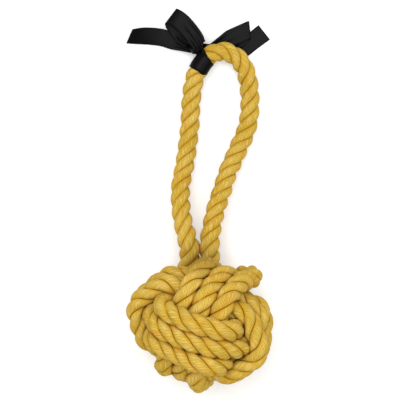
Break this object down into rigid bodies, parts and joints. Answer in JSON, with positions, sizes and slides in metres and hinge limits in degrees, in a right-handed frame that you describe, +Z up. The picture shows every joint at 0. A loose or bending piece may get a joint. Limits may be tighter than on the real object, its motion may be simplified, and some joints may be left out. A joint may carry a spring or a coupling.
{
  "type": "rope ball dog toy",
  "caption": "Dog toy tied from one thick cotton rope: a round wound ball knot on a long rope loop, with a plain ribbon bow tied round the loop.",
  "frame": {"origin": "on the floor, under the middle of the toy's bounding box as it lies there", "axes": "+Z up from the floor; +Y along the toy from the ball to the end of the loop; +X to the right when it is seen from above with the loop at the top"},
  "size_m": [0.1062, 0.2794, 0.1026],
  "materials": {
    "rope": "matte twisted cotton",
    "ribbon": "satin",
    "core": "matte"
  },
  "bodies": {
    "ball": {"core_ball": "core", "fist_winding": "rope", "left_rope_end": "rope", "neck_right": "rope", "neck_left": "rope"},
    "handle": {"handle_loop": "rope", "ribbon_band": "ribbon", "ribbon_knot": "ribbon", "ribbon_loop_left": "ribbon", "ribbon_loop_right": "ribbon", "ribbon_tail_left": "ribbon", "ribbon_tail_right": "ribbon"}
  },
  "joints": [
    {"name": "loop_lift", "type": "hinge", "parent": "ball", "child": "handle", "pos_m": [0.0014, -0.0294, 0.0262], "axis": [1, 0, 0], "range_deg": [0, 75], "deforming": ["neck_right", "neck_left"]}
  ]
}
